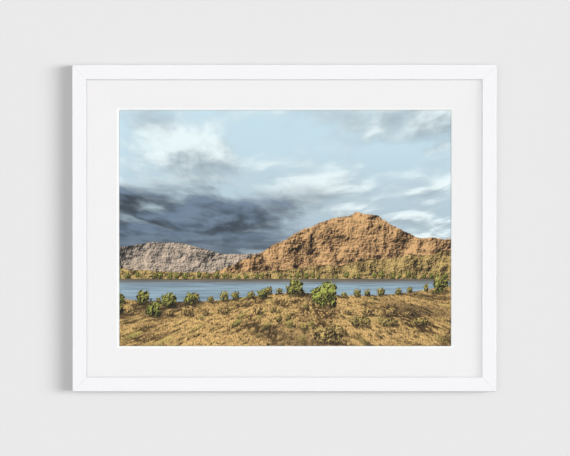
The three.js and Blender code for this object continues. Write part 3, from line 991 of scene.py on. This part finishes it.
def add_planes(settings):
    """A wall behind the frame and a floor well below it.

    Neither is in the way of the light or of a view from behind.
    """
    wall_gap = 0.2 * MM
    hung_at = 1.5
    side = 5
    planes = []
    for name, turn, place, glow in (
        ("wall", math.pi / 2, (MIDDLE_X, WALL_Y + wall_gap, MIDDLE_Z + 1.0), 0.0),
        ("floor", 0.0, (MIDDLE_X, -side / 2, MIDDLE_Z - hung_at), 0.68),
    ):
        bm = plane_bmesh(side, side, turn)
        set_at(bm, place)
        plane = add_mesh(name, bm, [one_sided_paint(name + "_paint", settings.wall, glow)])
        plane.visible_shadow = False
        plane.visible_diffuse = False
        plane.visible_glossy = False
        planes.append(plane)
    return planes


def towards_light(azimuth, elevation, ahead=1):
    """The way to a light. Azimuth 0 is in front of the frame, or behind it where ahead is -1."""
    flat = ahead * math.cos(elevation)
    return Vector((math.sin(azimuth) * flat, -math.cos(azimuth) * flat, math.sin(elevation)))


def facing_away(direction):
    """How a light or a camera is turned that looks against a direction."""
    return direction.to_track_quat("Z", "Y").to_euler()


def add_sun(name, azimuth, elevation, share, spread):
    """A soft distant light in front of the frame. Azimuth 90 degrees is to its right."""
    towards = towards_light(azimuth, elevation)
    sun = add_object(name, bpy.data.lights.new(name, "SUN"))
    sun.data.energy = share * math.pi / abs(towards.y)
    sun.data.angle = spread
    sun.data.specular_factor = 0.0
    sun.rotation_euler = facing_away(towards)
    sun.visible_glossy = False  # so that the glass doesn't mirror it
    sun.visible_transmission = False
    return sun


def add_back_panel(name, azimuth, elevation, share):
    """A panel light behind the wall that shines on the back of the frame."""
    towards = towards_light(azimuth, elevation, -1)
    distance = 2.5
    panel = add_object(name, bpy.data.lights.new(name, "AREA"))
    panel.data.size = 0.3
    panel.data.energy = share * math.pi**2 * distance**2 / towards.y
    panel.location = Vector((MIDDLE_X, BACK_Y, MIDDLE_Z)) + towards * distance
    panel.rotation_euler = facing_away(towards)
    panel.visible_camera = False
    return panel


def light_only(light, things, link_state="INCLUDE"):
    """Keeps a light on some things, or off them."""
    group = bpy.data.collections.new(light.name + "_receivers")
    for thing in things:
        group.objects.link(thing)
    for member in group.collection_objects:
        member.light_linking.link_state = link_state
    light.light_linking.receiver_collection = group


def add_room(scene, settings):
    """Light from all round: dim, and brighter from above."""
    world = bpy.data.worlds.new("room")
    world.use_nodes = True
    tree = Tree(world.node_tree)
    _, depth, height = tree.add("TexCoord")["Generated"].split()
    dim = depth.between(-0.1, 0.3, settings.ambient, settings.behind, smooth=False)
    light = dim * height.between(-0.8, 0.8, 0.6, 1.4, smooth=False)
    to_camera = tree.add("LightPath")["Is Camera Ray"]
    backdrop = 0.8  # what the camera sees of the room
    seen = tree.add("Mix", inputs={"Factor_Float": to_camera, "A_Float": light, "B_Float": backdrop})
    background = tree.nodes["Background"].inputs
    tree.put(seen["Result_Float"], background["Strength"])
    tree.put((1, 1, 1), background["Color"])
    scene.world = world


def add_lights(scene, settings, planes):
    """Window light from the right in three panes, a soft box and a fill in front, and panels behind."""
    height, spread = settings.key_elevation, settings.key_spread
    for on, shares, box_azimuth, link_state in (
        ("wall", settings.on_wall, math.radians(-8), "INCLUDE"),
        ("print", settings.on_print, 0, "EXCLUDE"),
    ):
        window, box, fill = shares
        suns = [
            add_sun(f"window_{pane}_on_{on}", azimuth, height, window / 3, spread)
            for pane, azimuth in zip("abc", settings.key_azimuths)
        ]
        suns.append(add_sun("soft_box_on_" + on, box_azimuth, math.radians(3), box, math.radians(36)))
        suns.append(add_sun("fill_on_" + on, 0, 0, fill, math.radians(8)))
        suns[-1].data.use_shadow = False
        for sun in suns:
            light_only(sun, planes, link_state)
    rails = [thing for thing in scene.objects if thing.name.startswith("moulding")]
    others = [thing for thing in scene.objects if thing.type == "MESH" and thing not in rails + planes]
    for name, azimuth, elevation, share, lit in (
        ("back_light", 0, 0, settings.at_back, rails),
        ("bench_light", 0.7, 0.6, settings.at_back, others),
        ("side_light", -1.48, 0.8, 0.03, rails),
    ):
        light_only(add_back_panel(name, azimuth, elevation, share), lit)


def add_camera(scene, settings):
    """A camera in front of the frame that looks a little down."""
    camera = add_object("camera", bpy.data.cameras.new("camera"))
    camera.data.lens = camera.data.sensor_width * settings.distance / settings.view_width
    camera.data.dof.use_dof = False
    aim = Vector((MIDDLE_X + settings.aim_across, FRONT_Y, MIDDLE_Z + settings.aim_up))
    away = Vector((0, -math.cos(settings.pitch), math.sin(settings.pitch)))
    camera.location = aim + away * settings.distance
    camera.rotation_euler = facing_away(away)
    scene.camera = camera
    scene.view_settings.view_transform = "Standard"


# Operators


class FRAMEDPRINT_OT_moulding(bpy.types.Operator):
    """Build the four mitred rails"""

    bl_idname = "framed_print.moulding"
    bl_label = "Moulding"

    def execute(self, context):
        settings = context.scene.framed_print_moulding
        materials = (lacquer_finish(settings), fibreboard_finish(settings))
        width, height = RIGHT - LEFT, TOP - BOTTOM
        for step, name in enumerate(("top", "right", "bottom", "left")):
            length, reach = (width, height / 2) if step % 2 == 0 else (height, width / 2)
            bm = rail_bmesh(length, settings)
            set_at(bm, (0, 0, reach))
            set_at(bm, (MIDDLE_X, 0, MIDDLE_Z), step * math.pi / 2)
            rail = add_piece("moulding_" + name, bm, materials, "moulding", BODY, "rail_" + name)
            rail.visible_diffuse = False  # a white side would brighten the wall and the mat beside it
        return {"FINISHED"}


class FRAMEDPRINT_OT_window_mat(bpy.types.Operator):
    """Build the mat with its bevel-cut window"""

    bl_idname = "framed_print.window_mat"
    bl_label = "Window mat"

    def execute(self, context):
        settings = context.scene.framed_print_sheets
        size = size_of("window_mat")
        front_width = settings.window_width + 2 * size.y
        front_height = settings.window_height + 2 * size.y
        bm = plane_bmesh(front_width, front_height)
        bmesh.ops.delete(bm, geom=bm.faces[:], context="FACES_ONLY")
        window = bm.edges[:]
        outside = grow(bm, window, (size.x / front_width, 1, size.z / front_height))
        back = grow(bm, outside, shift=size.y)
        shrink = (settings.window_width / front_width, 1, settings.window_height / front_height)
        foot = grow(bm, window, shrink, size.y)
        bmesh.ops.bridge_loops(bm, edges=back + foot)
        opening = [v for v in bm.verts if abs(v.co.x) < front_width / 2 + MM]
        bmesh.ops.translate(bm, vec=(settings.window_shift, 0, 0), verts=opening)
        set_at(bm, (MIDDLE_X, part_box("window_mat")[0].y, MIDDLE_Z))
        round_rims(bm, settings.cut_radius)
        bmesh.ops.recalc_face_normals(bm, faces=bm.faces)
        for face in bm.faces:
            face.material_index = int(abs(face.normal.y) < 0.8)
        materials = (facing_finish(settings), core_finish(settings))
        add_piece("mat", bm, materials, "window_mat", BODY, "window_mat", smooth_to=50)
        return {"FINISHED"}


class FRAMEDPRINT_OT_picture(bpy.types.Operator):
    """Build the printed sheet and paint its picture"""

    bl_idname = "framed_print.picture"
    bl_label = "Picture"

    def execute(self, context):
        scene = context.scene
        finish = picture_finish(scene.framed_print_picture, scene.framed_print_sheets)
        bm = sheet_bmesh("print_sheet", edge=0.08 * MM)
        add_piece("print", bm, (finish,), "print", BODY, "print_sheet")
        return {"FINISHED"}


class FRAMEDPRINT_OT_glazing(bpy.types.Operator):
    """Finish the glass. It casts no shadow, so that the light reaches the mat"""

    bl_idname = "framed_print.glazing"
    bl_label = "Glazing"

    def execute(self, context):
        glass = dress_node("glazing", glazing_finish())
        glass.visible_shadow = False
        glass.visible_diffuse = False
        return {"FINISHED"}


class FRAMEDPRINT_OT_backing(bpy.types.Operator):
    """Build the back panel and finish the mount board"""

    bl_idname = "framed_print.backing"
    bl_label = "Backing"

    def execute(self, context):
        dress_node("mount_board", foam_board_finish())
        finish = hardboard_finish(context.scene.framed_print_sheets)
        bm = sheet_bmesh("back_panel", corner=2 * MM, edge=0.3 * MM)
        add_piece("panel", bm, (finish,), "back_panel", BODY, "back_panel")
        return {"FINISHED"}


class FRAMEDPRINT_OT_fasteners(bpy.types.Operator):
    """Build the turn buttons and their screws"""

    bl_idname = "framed_print.fasteners"
    bl_label = "Fasteners"

    def execute(self, context):
        settings = context.scene.framed_print_hardware
        plated = steel_finish("plated_button", settings.zinc, 0.34)
        bright = steel_finish("plated_screw", shade(settings.zinc, 1.08), 0.26)
        low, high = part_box("turn_button_left")
        gap = 0.3 * MM  # between a button and its screw's head
        seat_y = high.y + gap
        length = seat_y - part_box("screw_left")[0].y
        head_height = 1.18 * MM
        for name, arm, slot in (
            ("top_left", 0, 25),
            ("top_right", 0, 70),
            ("bottom_left", 180, 5),
            ("bottom_right", 180, 48),
            ("left", -90, 33),
            ("right", 90, 81),
        ):
            middle = centre_of("screw_" + name)
            bm = button_bmesh(settings, high.y - low.y)
            set_at(bm, (middle.x, low.y, middle.z), math.radians(arm))
            add_piece("button_" + name, bm, (plated,), "hardware", "button_" + name, "turn_button_" + name)
            bm = screw_bmesh(settings, length, head_height)
            set_at(bm, (middle.x, seat_y, middle.z), math.radians(slot))
            add_piece("button_screw_" + name, bm, (bright,), "hardware", BODY, "screw_" + name)
        return {"FINISHED"}


class FRAMEDPRINT_OT_hanger(bpy.types.Operator):
    """Build the sawtooth hanger and its nails"""

    bl_idname = "framed_print.hanger"
    bl_label = "Hanger"

    def execute(self, context):
        settings = context.scene.framed_print_hardware
        plated = steel_finish("plated_hanger", shade(settings.zinc, 0.95), 0.36)
        bm = bmesh.new()
        bm.from_mesh(frame["nodes"]["sawtooth_hanger"].data)
        bmesh.ops.remove_doubles(bm, verts=bm.verts, dist=MM / 1000)
        bmesh.ops.dissolve_limit(bm, angle_limit=math.radians(1), verts=bm.verts, edges=bm.edges)
        round_rims(bm, 0.12 * MM, 50)
        add_piece("hanger", bm, (plated,), "hardware", BODY, "sawtooth_hanger")

        wire = steel_finish("plated_nail", shade(settings.zinc, 0.85), 0.3)
        shank = 0.8 * MM
        for side in ("left", "right"):
            node = "hanger_nail_" + side
            low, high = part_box(node)
            middle, head = centre_of(node), high.y - 0.8 * MM
            profile = [(0, low.y), (shank, low.y + 2 * shank), (shank, head)]
            for radius, rise in ((2.1, 0), (2.2, 0.1), (2.2, 0.3), (2.05, 0.55), (1.75, 0.7), (1.3, 0.76)):
                profile.append((radius * MM, head + rise * MM))
            bm = turned_bmesh(profile + [(0, high.y)])
            set_at(bm, (middle.x, 0, middle.z))
            add_piece("nail_" + side, bm, (wire,), "hardware", BODY, node)
        return {"FINISHED"}


class FRAMEDPRINT_OT_corners(bpy.types.Operator):
    """Build the staples across the mitres and the bumpers at the lower corners"""

    bl_idname = "framed_print.corners"
    bl_label = "Corners"

    def execute(self, context):
        settings = context.scene.framed_print_hardware
        strip = steel_finish("staple_steel", shade(settings.zinc, 0.8), 0.4)
        from_edge = (RAIL_FACE - context.scene.framed_print_moulding.lip_width) / 2
        proud = 0.03 * MM
        for up, across in ((1, 1), (1, -1), (-1, 1), (-1, -1)):
            name = f"staple_{'top' if up > 0 else 'bottom'}_{'right' if across > 0 else 'left'}"
            x = MIDDLE_X + across * ((RIGHT - LEFT) / 2 - from_edge)
            z = MIDDLE_Z + up * ((TOP - BOTTOM) / 2 - from_edge)
            bm = staple_bmesh(settings, size_of(name).y)
            set_at(bm, (x, BACK_Y + proud, z), math.atan2(across, up) - math.pi / 4)
            add_piece("corner_" + name, bm, (strip,), "hardware", BODY, name)

        rubber = bumper_finish()
        soft, steps = 1.2 * MM, 6
        for side in ("left", "right"):
            node = "bumper_" + side
            low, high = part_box(node)
            middle, radius = centre_of(node), (high.x - low.x) / 2
            profile = [(0, low.y), (radius - 0.15 * MM, low.y), (radius, low.y + 0.2 * MM)]
            for step in range(steps + 1):
                angle = step / steps * math.pi / 2
                drop = soft * (1 - math.sin(angle)) + 0.1 * MM
                profile.append((radius - soft * (1 - math.cos(angle)), high.y - drop))
            profile += [(radius - 2 * soft, high.y), (0, high.y)]
            bm = turned_bmesh(profile, 40)
            set_at(bm, (middle.x, 0, middle.z))
            add_piece("rubber_" + node, bm, (rubber,), "bumper", BODY, node)
        return {"FINISHED"}


class FRAMEDPRINT_OT_stage(bpy.types.Operator):
    """Set up the wall, the floor, the lights and the camera, once every piece is there"""

    bl_idname = "framed_print.stage"
    bl_label = "Stage"

    def execute(self, context):
        scene = context.scene
        settings = scene.framed_print_stage
        planes = add_planes(settings)
        add_room(scene, settings)
        add_lights(scene, settings, planes)
        add_camera(scene, settings)
        return {"FINISHED"}


OPERATORS = (
    FRAMEDPRINT_OT_moulding,
    FRAMEDPRINT_OT_window_mat,
    FRAMEDPRINT_OT_picture,
    FRAMEDPRINT_OT_glazing,
    FRAMEDPRINT_OT_backing,
    FRAMEDPRINT_OT_fasteners,
    FRAMEDPRINT_OT_hanger,
    FRAMEDPRINT_OT_corners,
    FRAMEDPRINT_OT_stage,
)


class FRAMEDPRINT_PT_panel(bpy.types.Panel):
    """Lists the steps of building the framed print"""

    bl_idname = "FRAMEDPRINT_PT_panel"
    bl_label = "Framed Print"
    bl_space_type = "VIEW_3D"
    bl_region_type = "UI"
    bl_category = "Framed Print"

    def draw(self, context):
        for operator in OPERATORS:
            self.layout.operator(operator.bl_idname)


def register():
    for name, group in GROUPS.items():
        bpy.utils.register_class(group)
        setattr(bpy.types.Scene, name, bpy.props.PointerProperty(type=group))
    for operator in OPERATORS:
        bpy.utils.register_class(operator)
    bpy.utils.register_class(FRAMEDPRINT_PT_panel)


def unregister():
    bpy.utils.unregister_class(FRAMEDPRINT_PT_panel)
    for operator in reversed(OPERATORS):
        bpy.utils.unregister_class(operator)
    for name, group in reversed(GROUPS.items()):
        delattr(bpy.types.Scene, name)
        bpy.utils.unregister_class(group)


def main():
    """Builds everything."""
    register()
    bpy.ops.framed_print.moulding()
    bpy.ops.framed_print.window_mat()
    bpy.ops.framed_print.picture()
    bpy.ops.framed_print.glazing()
    bpy.ops.framed_print.backing()
    bpy.ops.framed_print.fasteners()
    bpy.ops.framed_print.hanger()
    bpy.ops.framed_print.corners()
    bpy.ops.framed_print.stage()


if __name__ == "__main__":
    main()
